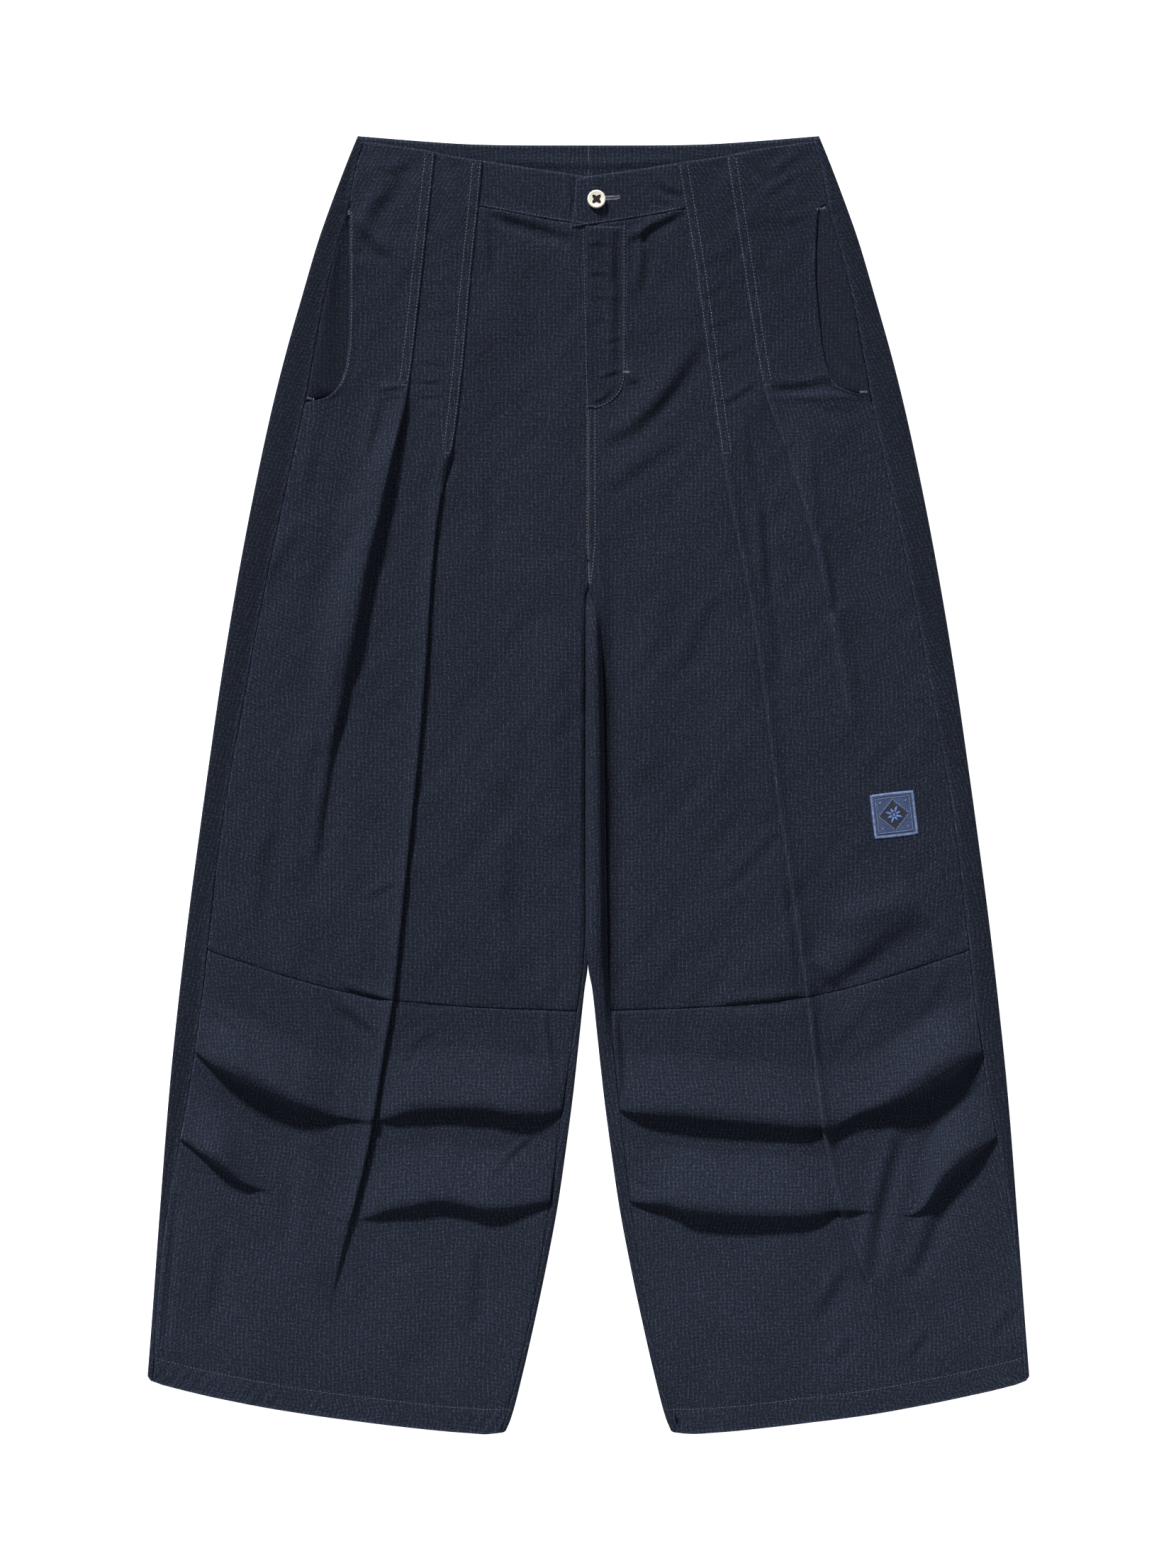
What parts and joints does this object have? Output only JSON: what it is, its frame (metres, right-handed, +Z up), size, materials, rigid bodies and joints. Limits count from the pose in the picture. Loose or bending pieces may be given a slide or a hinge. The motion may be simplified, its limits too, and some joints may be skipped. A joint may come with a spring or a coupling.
{
  "type": "wide-leg trousers",
  "caption": "Wide-leg woven trousers laid flat on their back, with stitched waist pleats, a knee seam, knee tucks, slanted pockets, a buttoned fly and a small leg patch.",
  "frame": {"origin": "under the middle of the garment's outline, on the surface that it lies on", "axes": "+Y towards the waist, -Y towards the hems, +X towards the wearer's left, +Z up through the layers from back to front"},
  "size_m": [0.713, 1.0501, 0.0198],
  "materials": {
    "cloth": "navy crinkled plain-weave cotton, broken check in grey-blue, matt",
    "cloth_inside": "navy cotton, plainer inner side, matt",
    "button": "cream polyester resin, turned, satin",
    "patch": "mid-blue twill with a light-blue overcast edge, matt"
  },
  "bodies": {
    "root": {"back_right": "cloth", "front_right": "cloth", "shin_right": "cloth", "waistband_right": "cloth", "pocket_facing_right": "cloth_inside", "back_left": "cloth", "front_left": "cloth", "shin_left": "cloth", "waistband_left": "cloth", "pocket_facing_left": "cloth_inside", "fly_flap": "cloth", "button": "button", "patch": "patch"}
  },
  "joints": []
}
